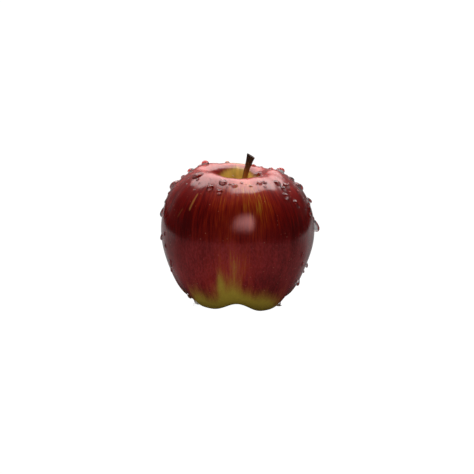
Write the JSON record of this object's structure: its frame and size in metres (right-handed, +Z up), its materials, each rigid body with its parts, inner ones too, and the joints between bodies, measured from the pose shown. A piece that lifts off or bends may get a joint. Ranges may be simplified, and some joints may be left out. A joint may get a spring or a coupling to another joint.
{
  "type": "apple",
  "caption": "Whole fresh red apple, broad at the shoulders and narrowing to a lobed base, with a leaning stem in a pit and dried sepals in the hollow underneath.",
  "frame": {"origin": "on the table, under the middle of the fruit's box", "axes": "+Z up along the fruit's axis towards the stem, -Y towards the viewer, +X to the viewer's right, the way the stem leans"},
  "size_m": [0.078, 0.078, 0.0765],
  "materials": {
    "apple_skin": "waxy gloss, wet",
    "stem_wood": "dry bark, matt",
    "dried_husk": "dry and matt",
    "water": "clear drops on the skin"
  },
  "bodies": {
    "root": {"fruit": "apple_skin", "stem": "stem_wood", "sepal_1": "dried_husk", "sepal_2": "dried_husk", "sepal_3": "dried_husk", "sepal_4": "dried_husk", "sepal_5": "dried_husk", "stamens": "dried_husk"}
  },
  "joints": []
}
